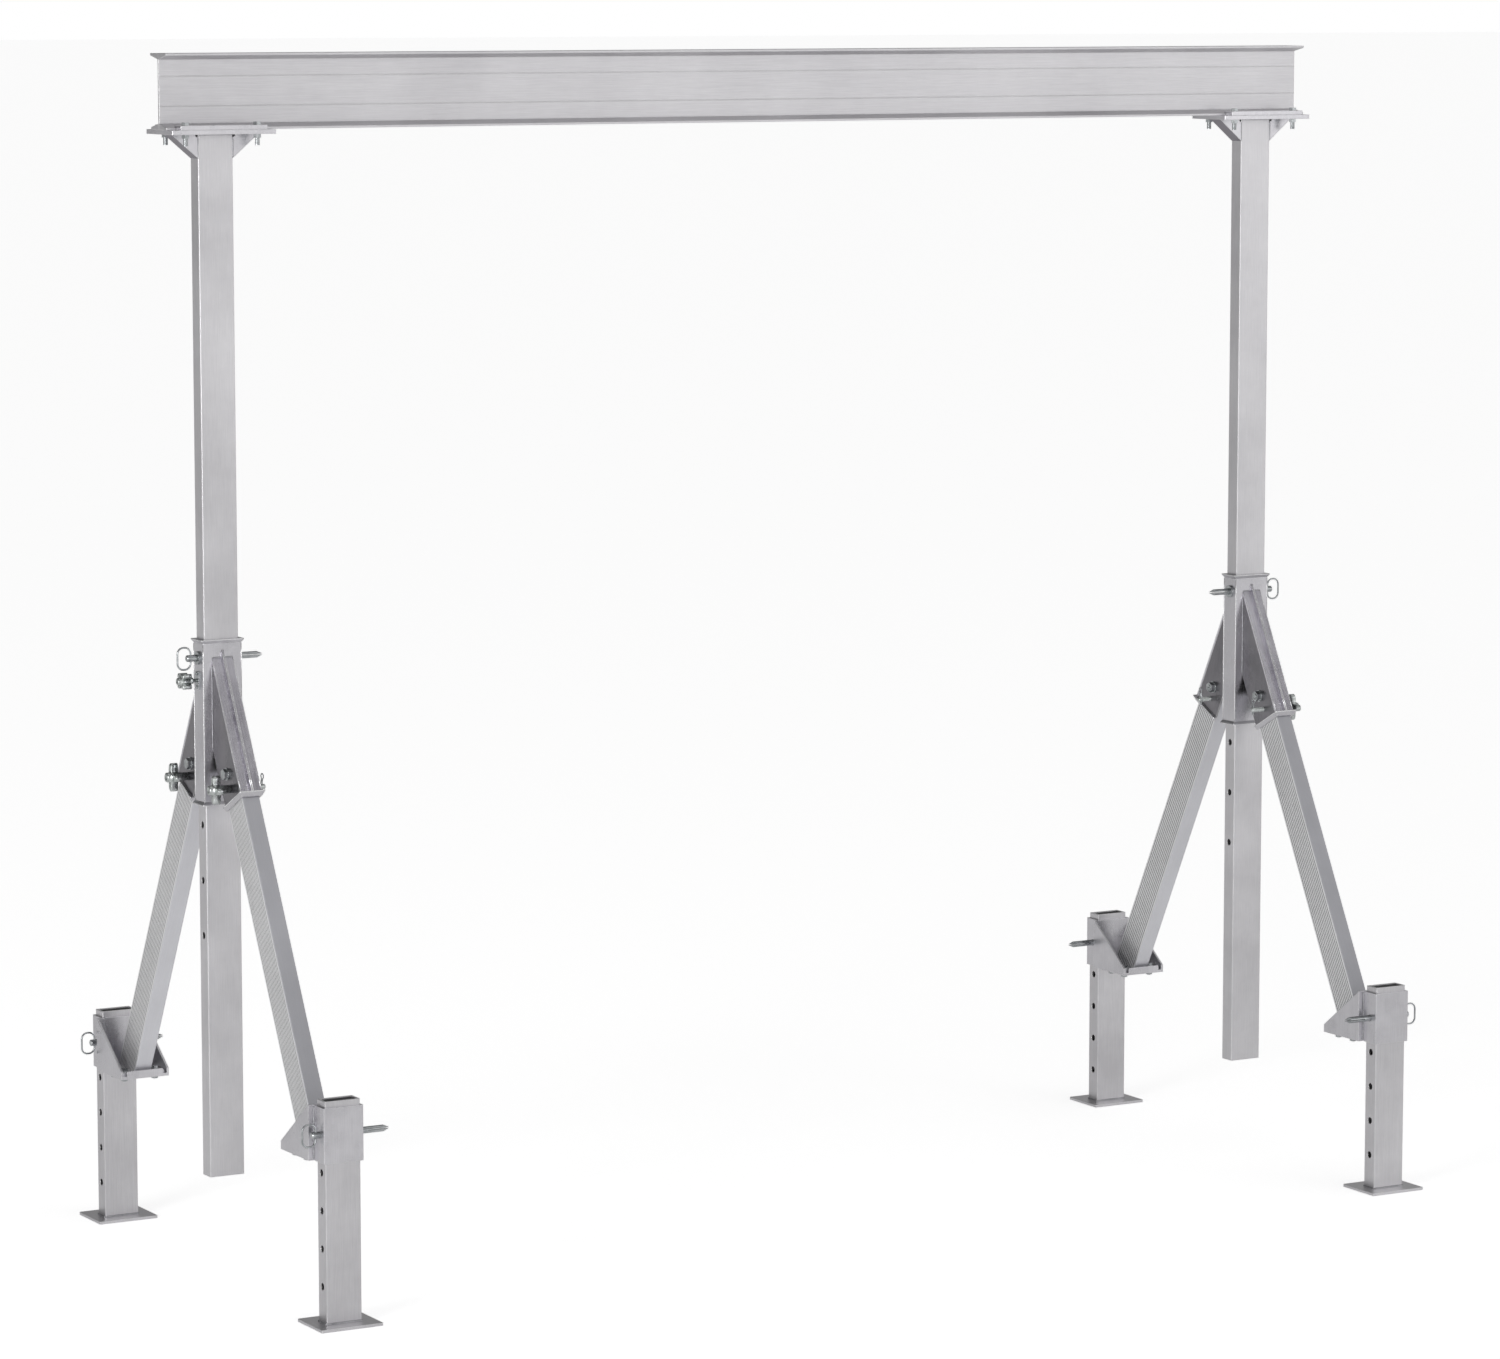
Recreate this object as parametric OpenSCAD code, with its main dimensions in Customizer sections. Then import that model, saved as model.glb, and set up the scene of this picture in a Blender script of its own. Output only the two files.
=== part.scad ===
// Portable gantry crane: an I-beam carried by two height-adjustable masts.
// Each mast slides through a head that stands on two folding legs with jack feet.
// Frame: X along the beam, Y across it, Z up, origin on the floor below the middle.
// A tower is drawn once with its outboard side at +X, a leg once on its +Y side,
// and both are then mirrored into place.

/* [Beam] */
// Length of the I-beam
beam_l = 3620; // [3000:20:4200]
// Height of the I-beam
beam_h = 200; // [180:10:240]
// Width of both flanges
flange_w = 102; // [98:2:110]
// Thickness of the web
web_t = 6; // [5:1:8]
// Flange thickness at its tips
flange_tip = 6; // [5:0.5:6]
// Flange thickness where it meets the web
flange_root = 16; // [12:1:20]
// Clear height under the beam
beam_under = 3068; // [2968:10:3268]

/* [Mast] */
// Distance from a mast's axis to the end of the beam
mast_inset = 150; // [150:10:400]
// Width of the mast and foot tubes along the beam
tube_w = 100; // [96:1:104]
// Depth of the mast and foot tubes across the beam
tube_d = 50; // [48:1:52]
// Wall thickness of the mast and foot tubes
tube_t = 5; // [4:0.5:6]
// Height of the mast's lower end above the floor
mast_bottom = 259; // [240:1:300]
// Number of height holes in the mast
mast_holes = 6; // [2:1:6]
// Spacing of the height holes
mast_pitch = 150; // [100:10:150]

/* [Head] */
// Height of the head's upper rim
head_top = 1716; // [1712:1:1720]
// Height of the head's lower rim
head_bottom = 1271; // [1260:1:1275]
// Height of the pin that locks the mast
mast_pin_z = 1666; // [1662:1:1668]

/* [Legs] */
// Lean of each leg from the vertical, in degrees
lean = 27.5; // [27:0.25:28]
// Distance of the leg's hinge from the mast's middle plane
hinge_y = 120; // [118:1:122]
// Height of the leg's hinge
hinge_z = 1366; // [1360:1:1370]
// Width of the leg section along the beam
leg_w = 50; // [46:1:50]
// Depth of the leg section
leg_d = 100; // [96:1:100]
// Number of grooves on each ribbed leg face
grooves = 11; // [4:1:12]

/* [Feet] */
// Distance of the foot tubes from the mast's middle plane
foot_y = 728.5; // [726:0.5:731]
// Upper end of the foot tube
foot_top = 594; // [588:1:594]
// Height of the pin that locks the foot
foot_pin_z = 504; // [500:1:508]
// Number of holes in a foot tube
foot_holes = 5; // [2:1:5]
// Spacing of the foot's holes
foot_pitch = 100; // [80:5:100]
// Width of the base plate along the beam
plate_w = 175; // [150:5:200]
// Depth of the base plate
plate_d = 150; // [120:5:180]
// Thickness of the base plate
plate_t = 8; // [6:1:10]

/* [Pins] */
// Diameter of the locking pins
pin_d = 18; // [16:0.5:18]
// Diameter of the holes that the pins go through
pin_hole_d = 19; // [18.5:0.5:20]

/* [Hidden] */
$fn = 48;

LEFT = -1;
RIGHT = 1;
FRONT = -1;
REAR = 1;
mast_x = beam_l / 2 - mast_inset;

// top plate, clamp bars and braces
top_plate_w = 299;
top_plate_d = 172;
top_plate_t = 12;
top_plate_z = beam_under - top_plate_t;
clamp_w = 248;
clamp_out = 84;
clamp_t = 12;
clamp_nose = 43;
clamp_gap = 0.5;
beam_bolt_r = 6;
beam_bolt_x = 103;
beam_bolt_y = 65;
brace_reach = 76;
brace_drop = 64;
brace_t = 6;
cope_r = 8;

// head
head_wall = 4.5;
head_w = tube_w + 12;
head_d = tube_d + 12;
rim_h = 10;
rim_t = 3;
rim_out = 6;
liner_gap = 0.3;
liner_l = 28;
boss_d = 36;
boss_t = 6;
cheek_in = leg_w / 2 + 1;
cheek_t = 4;
cheek_out = cheek_in + cheek_t;
socket_in = leg_d / 2 + 5;
socket_out = leg_d / 2 + 4;
socket_l = 74;
socket_up = 420;
cover_t = 6;
spine_t = 5;
spine_out = 10;
collar_t = 12;
collar_lip = 3;
collar_side = 10;
collar_out = socket_out + 16;
hinge_r = 8;
bore_gap = 0.1;
lock_reach = 42;
lock_r = 7;
lock_slot_gap = 0.5;
clamp_z = mast_pin_z - 60;
clamp_r = 5;

// legs and brackets
leg_t = 4;
groove_w = 2.4;
groove_deep = 1.2;
groove_pitch = (leg_d - 10) / grooves;
bush_r = 13;
leg_flange_t = 8;
bracket_bottom = 432;
bracket_top = 578;
bracket_w = 143;
bracket_t = 6;
bracket_floor_t = 8;
bracket_in = 526;
lip_h = 14;
lip_notch = 12;
sleeve_gap = 0.5;
sleeve_t = 6;
sleeve_w = tube_w + 2 * (sleeve_gap + sleeve_t);
sleeve_d = tube_d + 2 * (sleeve_gap + sleeve_t);
sleeve_in = foot_y - sleeve_d / 2;
leg_seat = bracket_bottom + bracket_floor_t;
bracket_bolt_r = 6;
bracket_bolt_x = 45.5;
bracket_bolt_y = [565, 635];
cap_drop = 3;
cap_t = 8;

// pins, knobs and clips
pin_head = 91;
pin_tip = 130;
pin_slot_from = 66;
pin_slot_w = 3;
foot_pin_shift = -13;
ring_wire = 5;
ring_near = 78.5;
ring_far = 116.5;
ring_half = 29.5;
ring_bend = 17;
knob_near = 62;
knob_far = 82;
knob_hub = 94;
knob_reach = 38.5;
clamp_reach = 26.5;
clip_x = 63;
clip_wire = 3;
clip_ring_r = 8;
clip_ring_at = 26;
far = 4000;

// ---- shared shapes ----

// A rectangle with round corners, centred.
module round_rect(w, d, r) {
    square([w - 2 * r, d], center = true);
    square([w, d - 2 * r], center = true);
    for (x = [-1, 1], y = [-1, 1])
        translate([x * (w / 2 - r), y * (d / 2 - r)]) circle(r);
}

// The section of a square-cornered tube with a slightly rounded outside.
module tube_section(w, d, t) {
    difference() {
        round_rect(w, d, 3);
        square([w - 2 * t, d - 2 * t], center = true);
    }
}

// A cylinder along X from x0 to x1.
module rod_x(r, x0, x1)
    translate([x0, 0, 0]) rotate([0, 90, 0]) cylinder(r = r, h = x1 - x0);

// A hexagon prism along Z, d across flats.
module hexagon(d, h) cylinder(r = d / sqrt(3), h = h, $fn = 6);

// A bolt along Z: head above z = 0, nut and free end below the grip.
module bolt(r, grip, tail) {
    hexagon(3.2 * r, 1.4 * r);
    translate([0, 0, -grip - tail]) cylinder(r = r, h = grip + tail);
    translate([0, 0, -grip - 1.7 * r]) hexagon(3.2 * r, 1.7 * r);
}

// Everything on the mast's side of a face at distance y.
module beyond(y) translate([-far / 2, y - far, -far / 2]) cube([far, far, 2 * far]);

// ---- placement ----

// Moves a tower from the origin to its place, outboard side out.
module tower(side)
    translate([side * mast_x, 0, 0]) mirror([side < 0 ? 1 : 0, 0, 0]) children();

// Moves a leg's pieces to one corner.
module corner(side, end)
    tower(side) mirror([0, end < 0 ? 1 : 0, 0]) children();

// Both legs' sides of one tower.
module both_ends() for (end = [FRONT, REAR]) mirror([0, end < 0 ? 1 : 0, 0]) children();

// Hinge frame: origin on the hinge, -Z down the leg, +Y out of the leg's outer face.
module along_leg() translate([0, hinge_y, hinge_z]) rotate([lean, 0, 0]) children();

// ---- beam ----

// Half of one flange, from the web's middle out, on top of z = 0.
module flange_half()
    polygon([
        [0, 0], [flange_w / 2, 0], [flange_w / 2, flange_tip],
        [web_t / 2, flange_root], [0, flange_root]
    ]);

// One quarter-symmetric I-section in (y, z), with two fine ribs along the web.
module beam_section() {
    rib_w = 2;
    rib_out = 0.6;
    for (y = [0, 1], z = [0, 1])
        mirror([y, 0]) translate([0, z * beam_h]) mirror([0, z]) flange_half();
    translate([-web_t / 2, 1]) square([web_t, beam_h - 2]);
    for (z = [0.31, 0.7])
        translate([-web_t / 2 - rib_out, z * beam_h - rib_w / 2])
            square([web_t + 2 * rib_out, rib_w]);
}

module beam()
    color([0.80, 0.81, 0.83])
        translate([-beam_l / 2, 0, beam_under])
            rotate([90, 0, 90]) linear_extrude(beam_l) beam_section();

// ---- mast ----

module post()
    color([0.76, 0.77, 0.79]) difference() {
        translate([0, 0, mast_bottom])
            linear_extrude(top_plate_z - mast_bottom) tube_section(tube_w, tube_d, tube_t);
        for (n = [0 : mast_holes - 1])
            translate([0, 0, mast_pin_z - n * mast_pitch]) rod_x(pin_hole_d / 2, -tube_w, tube_w);
    }

// The four beam bolts' places.
module at_beam_bolts()
    for (x = [-1, 1], y = [-1, 1]) translate([x * beam_bolt_x, y * beam_bolt_y, 0]) children();

module top_plate()
    color([0.78, 0.79, 0.81]) difference() {
        translate([0, 0, top_plate_z]) linear_extrude(top_plate_t) round_rect(top_plate_w, top_plate_d, 4);
        at_beam_bolts() translate([0, 0, top_plate_z - 1]) cylinder(r = beam_bolt_r + 0.5, h = top_plate_t + 2);
    }

// A boxed brace on each narrow side of the post, with coped inner corners.
module braces()
    color([0.74, 0.75, 0.77]) for (side = [0, 1]) mirror([side, 0, 0]) difference() {
        translate([tube_w / 2, tube_d / 2, top_plate_z]) rotate([90, 0, 0])
            linear_extrude(tube_d) polygon([[0, 0], [brace_reach, 0], [0, -brace_drop]]);
        translate([tube_w / 2, tube_d / 2 - brace_t, top_plate_z]) rotate([90, 0, 0])
            linear_extrude(tube_d - 2 * brace_t)
                polygon([
                    [-1, 1], [brace_reach - 2 * brace_t, 1],
                    [brace_reach - 2 * brace_t, 0], [-1, -brace_drop + 2 * brace_t]
                ]);
        translate([tube_w / 2, tube_d, top_plate_z]) rotate([90, 0, 0])
            cylinder(r = cope_r, h = 2 * tube_d);
    }

// Two bars over the lower flange's tips, each with a nose on the flange.
module clamp_bars()
    color([0.78, 0.79, 0.81]) for (end = [0, 1]) mirror([0, end, 0]) difference() {
        translate([-clamp_w / 2, clamp_nose, beam_under]) cube([clamp_w, clamp_out - clamp_nose, clamp_t]);
        translate([-far / 2, 0, beam_under - 1])
            cube([far, flange_w / 2 + clamp_gap, flange_tip + 3]);
        at_beam_bolts() translate([0, 0, beam_under - 1]) cylinder(r = beam_bolt_r + 0.5, h = clamp_t + 2);
    }

module beam_bolts()
    color([0.70, 0.71, 0.72]) at_beam_bolts() translate([0, 0, beam_under + clamp_t])
        bolt(beam_bolt_r, clamp_t + top_plate_t, 30);

// ---- head ----

module head_sleeve()
    color([0.75, 0.76, 0.78]) difference() {
        translate([0, 0, head_bottom + rim_h])
            linear_extrude(head_top - head_bottom - 2 * rim_h) tube_section(head_w, head_d, head_wall);
        translate([0, 0, mast_pin_z]) rod_x(pin_hole_d / 2, -head_w, head_w);
        translate([0, 0, clamp_z]) rod_x(clamp_r + bore_gap, 0, head_w);
    }

// One flared guide liner: a thin collar inside the sleeve and a rim outside it.
module liner() {
    hollow_w = tube_w + 2 * liner_gap;
    hollow_d = tube_d + 2 * liner_gap;
    difference() {
        union() {
            hull() {
                linear_extrude(1) square([head_w, head_d], center = true);
                translate([0, 0, rim_h - rim_t]) linear_extrude(rim_t)
                    square([head_w + 2 * rim_out, head_d + rim_out + 1], center = true);
            }
            translate([0, 0, -liner_l]) linear_extrude(liner_l + 1)
                square([head_w - 2 * head_wall, head_d - 2 * head_wall], center = true);
        }
        translate([0, 0, -far / 2]) linear_extrude(far) square([hollow_w, hollow_d], center = true);
    }
}

module head_liners()
    color([0.62, 0.63, 0.65]) {
        translate([0, 0, head_top - rim_h]) liner();
        translate([0, 0, head_bottom + rim_h]) mirror([0, 0, 1]) liner();
    }

// Side plates of both leg sockets, with hinge and lock holes.
module head_cheeks()
    color([0.70, 0.71, 0.73]) both_ends() for (side = [0, 1]) mirror([side, 0, 0]) difference() {
        along_leg() translate([cheek_in, -socket_in, -socket_l])
            cube([cheek_t, socket_in + socket_out, socket_l + socket_up]);
        beyond(head_d / 2);
        along_leg() rod_x(hinge_r + bore_gap, -far, far);
        along_leg() translate([0, 0, -lock_reach]) rod_x(lock_r + bore_gap, -far, far);
    }

// Sloping outer plate of each socket, stiffened by a central spine.
module head_covers()
    color([0.77, 0.78, 0.80]) both_ends() difference() {
        along_leg() {
            translate([-cheek_out, socket_out, -socket_l])
                cube([2 * cheek_out, cover_t, socket_l + socket_up]);
            translate([-spine_t / 2, socket_out, -socket_l])
                cube([spine_t, cover_t + spine_out, socket_l + socket_up]);
        }
        beyond(head_d / 2);
    }

// Tapered frame round each socket's mouth, open towards the mast so the leg can fold.
module head_collars()
    color([0.79, 0.80, 0.82]) both_ends() along_leg() difference() {
        hull() {
            collar_slab(collar_side, collar_out - socket_out, -socket_l - collar_lip);
            collar_slab(cheek_t, cover_t, -socket_l - collar_t);
        }
        translate([-cheek_in, -far, -far / 2]) cube([2 * cheek_in, far + socket_out, far]);
    }

// A slab round the socket's mouth, wider than the leg's space by side and out.
module collar_slab(side, out, z)
    translate([-cheek_in - side, -socket_in, z])
        cube([2 * (cheek_in + side), socket_in + socket_out + out, collar_lip]);

// Ring bosses round the pin hole, and a threaded plate for a clamp screw if there is one.
module pin_bosses(has_clamp)
    color([0.66, 0.67, 0.68]) {
        for (side = [0, 1]) mirror([side, 0, 0]) translate([0, 0, mast_pin_z]) difference() {
            rod_x(boss_d / 2, head_w / 2, head_w / 2 + boss_t);
            rod_x(pin_hole_d / 2, 0, head_w);
        }
        if (has_clamp) difference() {
            translate([head_w / 2, -11, clamp_z - 24]) cube([5, 22, 48]);
            translate([0, 0, clamp_z]) rod_x(clamp_r + bore_gap, 0, head_w);
        }
    }

// A bolt along X through both cheeks, with a washer under its head and its nut.
module hinge_bolt() {
    rod_x(hinge_r, -cheek_out - 18, cheek_out + 3);
    for (side = [0, 1]) mirror([side, 0, 0]) rod_x(17, cheek_out, cheek_out + 3);
    translate([cheek_out + 3, 0, 0]) rotate([0, 90, 0]) hexagon(26, 10);
    translate([-cheek_out - 16, 0, 0]) rotate([0, 90, 0]) hexagon(26, 13);
}

module hinge_bolts()
    color([0.68, 0.69, 0.70]) both_ends() translate([0, hinge_y, hinge_z]) hinge_bolt();

// ---- leg and foot bracket ----

// Leg section in (x, y): a tube whose X faces are grooved.
module leg_section() {
    difference() {
        round_rect(leg_w, leg_d, 3);
        square([leg_w - 2 * leg_t, leg_d - 2 * leg_t], center = true);
        for (side = [0, 1], n = [0 : grooves - 1]) mirror([side, 0])
            translate([leg_w / 2 - groove_deep, (n - (grooves - 1) / 2) * groove_pitch - groove_w / 2])
                square([2 * groove_deep, groove_w]);
    }
}

// Curved slot for the lock bolt, swept outwards from the leg's middle about the hinge.
module lock_slot() {
    r = lock_r + lock_slot_gap;
    rotate([0, 90, 0]) translate([0, 0, -leg_w]) rotate([0, 0, -1]) {
        rotate_extrude(angle = lean + 2, $fn = 96)
            translate([lock_reach - r, 0]) square([2 * r, 2 * leg_w]);
        for (turn = [0, lean + 2]) rotate([0, 0, turn])
            translate([lock_reach, 0, 0]) cylinder(r = r, h = 2 * leg_w);
    }
}

module leg() {
    down = (hinge_z - leg_seat) / cos(lean) + leg_d;
    color([0.72, 0.73, 0.76]) difference() {
        union() {
            difference() {
                along_leg() {
                    translate([0, 0, -down]) linear_extrude(down) leg_section();
                    intersection() {
                        linear_extrude(leg_d / 2) leg_section();
                        rod_x(leg_d / 2, -leg_w, leg_w);
                    }
                    rod_x(bush_r, -leg_w / 2 + 1, leg_w / 2 - 1);
                }
                translate([-far / 2, 0, leg_seat - far]) cube([far, far, far]);
            }
            translate([-62, bracket_in + 10, leg_seat]) cube([124, 150, leg_flange_t]);
        }
        along_leg() rod_x(hinge_r + bore_gap, -leg_w, leg_w);
        along_leg() lock_slot();
        at_bracket_bolts() cylinder(r = bracket_bolt_r + 0.5, h = leg_seat + leg_flange_t + 1);
    }
}

module at_bracket_bolts()
    for (x = [-1, 1], y = bracket_bolt_y) translate([x * bracket_bolt_x, y, 0]) children();

// The leg's seat and the sleeve that guides the foot tube, welded as one piece.
module foot_bracket()
    color([0.77, 0.78, 0.80]) difference() {
        union() {
            translate([0, foot_y, bracket_bottom]) linear_extrude(bracket_top - bracket_bottom)
                tube_section(sleeve_w, sleeve_d, sleeve_t);
            translate([-bracket_w / 2, sleeve_in - bracket_t, bracket_bottom])
                cube([bracket_w, bracket_t, bracket_top - bracket_bottom]);
            translate([-bracket_w / 2, bracket_in, bracket_bottom])
                cube([bracket_w, sleeve_in - bracket_in, bracket_floor_t]);
            translate([-bracket_w / 2 + bracket_t + lip_notch, bracket_in, bracket_bottom])
                cube([bracket_w - 2 * (bracket_t + lip_notch), bracket_t, bracket_floor_t + lip_h]);
            for (side = [0, 1]) mirror([side, 0, 0])
                translate([bracket_w / 2 - bracket_t, 0, 0]) rotate([90, 0, 90])
                    linear_extrude(bracket_t) polygon([
                        [bracket_in, bracket_bottom], [sleeve_in - 1, bracket_bottom],
                        [sleeve_in - 1, bracket_top],
                        [bracket_in, leg_seat + lip_h]
                    ]);
        }
        translate([0, foot_y, foot_pin_z]) rod_x(pin_hole_d / 2, -sleeve_w, sleeve_w);
        at_bracket_bolts() cylinder(r = bracket_bolt_r + 0.5, h = leg_seat + 1);
    }

module bracket_bolts()
    color([0.70, 0.71, 0.72]) at_bracket_bolts()
        translate([0, 0, leg_seat + leg_flange_t]) bolt(bracket_bolt_r, leg_flange_t + bracket_floor_t, 12);

// ---- foot ----

module foot()
    color([0.78, 0.79, 0.81]) translate([0, foot_y, 0]) {
        linear_extrude(plate_t) round_rect(plate_w, plate_d, 3);
        difference() {
            translate([0, 0, plate_t - 1]) linear_extrude(foot_top - plate_t + 1)
                tube_section(tube_w, tube_d, tube_t);
            for (n = [0 : foot_holes - 1])
                translate([0, 0, foot_pin_z - n * foot_pitch]) rod_x(pin_hole_d / 2, -tube_w, tube_w);
        }
    }

module foot_cap()
    color([0.12, 0.12, 0.13]) translate([0, foot_y, foot_top - cap_drop - cap_t])
        linear_extrude(cap_t) square([tube_w - 2 * tube_t, tube_d - 2 * tube_t], center = true);

// ---- pins, knobs and clips ----

// A pull ring of round wire in the XZ plane; its near side runs through the pin's head.
module pull_ring() {
    mid = (ring_near + ring_far) / 2;
    half_w = (ring_far - ring_near) / 2;
    for (x = [-1, 1]) translate([mid + x * half_w, 0, ring_bend - ring_half])
        cylinder(d = ring_wire, h = 2 * (ring_half - ring_bend));
    for (z = [-1, 1]) translate([mid - half_w + ring_bend, 0, z * ring_half])
        rotate([0, 90, 0]) cylinder(d = ring_wire, h = 2 * (half_w - ring_bend));
    for (x = [0, 1], z = [0, 1]) translate([mid, 0, 0]) mirror([x, 0, 0]) mirror([0, 0, z])
        translate([half_w - ring_bend, 0, ring_half - ring_bend]) rotate([90, 0, 0])
            rotate_extrude(angle = 90) translate([ring_bend, 0]) circle(d = ring_wire);
}

// A locking pin along X with its head outboard and a slotted, pointed tip inboard.
module locking_pin()
    color([0.66, 0.67, 0.68]) {
        difference() {
            union() {
                rod_x(pin_d / 2, -pin_tip + 16, pin_head - 2);
                translate([-pin_tip, 0, 0]) rotate([0, 90, 0]) cylinder(r1 = 2, r2 = pin_d / 2, h = 16);
                translate([pin_head - 2, 0, 0]) rotate([0, 90, 0])
                    cylinder(r1 = pin_d / 2, r2 = pin_d / 2 - 2, h = 2);
            }
            translate([-far, -far / 2, -pin_slot_w / 2]) cube([far - pin_slot_from, far, pin_slot_w]);
            translate([ring_near, 0, -pin_d]) cylinder(d = ring_wire + 0.6, h = 2 * pin_d);
        }
        pull_ring();
    }

module mast_pin() translate([0, 0, mast_pin_z]) locking_pin();

module foot_pin() translate([foot_pin_shift, foot_y, foot_pin_z]) locking_pin();

// A four-lobed knob along X from x0 to x1, its first lobe turned by tilt.
module star(x0, x1, reach, tilt) {
    lobe = 0.24 * reach;
    rod_x(0.45 * reach, x0, x1);
    for (turn = [tilt : 90 : tilt + 270]) rotate([turn, 0, 0]) {
        translate([0, reach - lobe, 0]) rod_x(lobe, x0, x1);
        translate([x0, 0, -lobe]) cube([x1 - x0, reach - lobe, 2 * lobe]);
    }
}

// The bolt that clamps a socket on its leg, with a cross hole for the clip.
module lock_knob()
    color([0.60, 0.63, 0.62]) along_leg() translate([0, 0, -lock_reach]) rotate([-lean, 0, 0]) {
        difference() {
            rod_x(lock_r, -clip_x - 8, knob_near);
            translate([-clip_x, 0, -far / 2]) cylinder(d = clip_wire + 0.4, h = far);
        }
        rod_x(11, cheek_out + 1, knob_near);
        star(knob_near, knob_far, knob_reach, 0);
        rod_x(13, knob_far, knob_hub);
    }

// A hairpin clip: a straight leg through the bolt and a ring above it.
module clip()
    color([0.72, 0.73, 0.74]) along_leg() translate([0, 0, -lock_reach]) rotate([-lean, 0, 0])
        translate([-clip_x, 0, 0]) {
            translate([0, 0, -16]) cylinder(d = clip_wire, h = clip_ring_at - clip_ring_r + 16);
            translate([0, 0, clip_ring_at]) rotate([90, 0, 0])
                rotate_extrude() translate([clip_ring_r, 0]) circle(d = clip_wire);
        }

module clamp_screw()
    color([0.60, 0.63, 0.62]) translate([0, 0, clamp_z]) {
        rod_x(clamp_r, tube_w / 2 + 0.3, 86);
        rod_x(9, 72, 84);
        star(84, 110, clamp_reach, 45);
        rod_x(10, 110, 119);
    }

// ---- nodes ----

beam();

tower(LEFT) post();  // left_post
tower(LEFT) top_plate();  // left_top_plate
tower(LEFT) braces();  // left_braces
tower(LEFT) clamp_bars();  // left_clamp_bars
tower(LEFT) beam_bolts();  // left_beam_bolts
tower(RIGHT) post();  // right_post
tower(RIGHT) top_plate();  // right_top_plate
tower(RIGHT) braces();  // right_braces
tower(RIGHT) clamp_bars();  // right_clamp_bars
tower(RIGHT) beam_bolts();  // right_beam_bolts

tower(LEFT) head_sleeve();  // left_head_sleeve
tower(LEFT) head_cheeks();  // left_head_cheeks
tower(LEFT) head_covers();  // left_head_covers
tower(LEFT) head_collars();  // left_head_collars
tower(LEFT) head_liners();  // left_head_liners
tower(LEFT) pin_bosses(true);  // left_pin_bosses
tower(LEFT) hinge_bolts();  // left_hinge_bolts
tower(RIGHT) head_sleeve();  // right_head_sleeve
tower(RIGHT) head_cheeks();  // right_head_cheeks
tower(RIGHT) head_covers();  // right_head_covers
tower(RIGHT) head_collars();  // right_head_collars
tower(RIGHT) head_liners();  // right_head_liners
tower(RIGHT) pin_bosses(false);  // right_pin_bosses
tower(RIGHT) hinge_bolts();  // right_hinge_bolts

corner(LEFT, FRONT) leg();  // left_front_leg
corner(LEFT, REAR) leg();  // left_rear_leg
corner(RIGHT, FRONT) leg();  // right_front_leg
corner(RIGHT, REAR) leg();  // right_rear_leg
corner(LEFT, FRONT) foot_bracket();  // left_front_bracket
corner(LEFT, REAR) foot_bracket();  // left_rear_bracket
corner(RIGHT, FRONT) foot_bracket();  // right_front_bracket
corner(RIGHT, REAR) foot_bracket();  // right_rear_bracket
corner(LEFT, FRONT) bracket_bolts();  // left_front_bolts
corner(LEFT, REAR) bracket_bolts();  // left_rear_bolts
corner(RIGHT, FRONT) bracket_bolts();  // right_front_bolts
corner(RIGHT, REAR) bracket_bolts();  // right_rear_bolts

corner(LEFT, FRONT) foot();  // left_front_foot
corner(LEFT, REAR) foot();  // left_rear_foot
corner(RIGHT, FRONT) foot();  // right_front_foot
corner(RIGHT, REAR) foot();  // right_rear_foot
corner(LEFT, FRONT) foot_cap();  // left_front_cap
corner(LEFT, REAR) foot_cap();  // left_rear_cap
corner(RIGHT, FRONT) foot_cap();  // right_front_cap
corner(RIGHT, REAR) foot_cap();  // right_rear_cap

tower(LEFT) mast_pin();  // left_mast_pin
tower(RIGHT) mast_pin();  // right_mast_pin
corner(LEFT, FRONT) foot_pin();  // left_front_foot_pin
corner(LEFT, REAR) foot_pin();  // left_rear_foot_pin
corner(RIGHT, FRONT) foot_pin();  // right_front_foot_pin
corner(RIGHT, REAR) foot_pin();  // right_rear_foot_pin
corner(LEFT, FRONT) lock_knob();  // left_front_knob
corner(LEFT, REAR) lock_knob();  // left_rear_knob
corner(RIGHT, FRONT) lock_knob();  // right_front_knob
corner(RIGHT, REAR) lock_knob();  // right_rear_knob
corner(LEFT, FRONT) clip();  // left_front_clip
corner(LEFT, REAR) clip();  // left_rear_clip
corner(RIGHT, FRONT) clip();  // right_front_clip
corner(RIGHT, REAR) clip();  // right_rear_clip
tower(LEFT) clamp_screw();  // clamp_knob
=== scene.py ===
"""Looks for the portable gantry crane: brushed aluminium and zinc, welds, threads, knobs and clips."""

import math

import bmesh
import bpy
from mathutils import Matrix, Vector, noise


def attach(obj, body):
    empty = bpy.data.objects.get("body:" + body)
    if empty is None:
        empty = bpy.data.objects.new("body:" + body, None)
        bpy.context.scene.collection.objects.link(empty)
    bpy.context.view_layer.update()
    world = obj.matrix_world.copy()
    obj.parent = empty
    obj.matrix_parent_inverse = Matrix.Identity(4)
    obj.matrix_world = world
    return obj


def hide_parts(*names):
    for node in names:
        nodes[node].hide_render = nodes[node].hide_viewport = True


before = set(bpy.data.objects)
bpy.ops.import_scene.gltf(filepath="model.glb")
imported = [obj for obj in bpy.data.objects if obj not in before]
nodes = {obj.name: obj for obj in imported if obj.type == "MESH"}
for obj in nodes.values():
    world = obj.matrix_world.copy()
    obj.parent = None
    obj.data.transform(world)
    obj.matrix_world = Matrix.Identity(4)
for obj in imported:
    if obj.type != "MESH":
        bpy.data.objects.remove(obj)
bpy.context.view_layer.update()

# ---- measures, in metres, as in the CAD part ----

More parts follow.
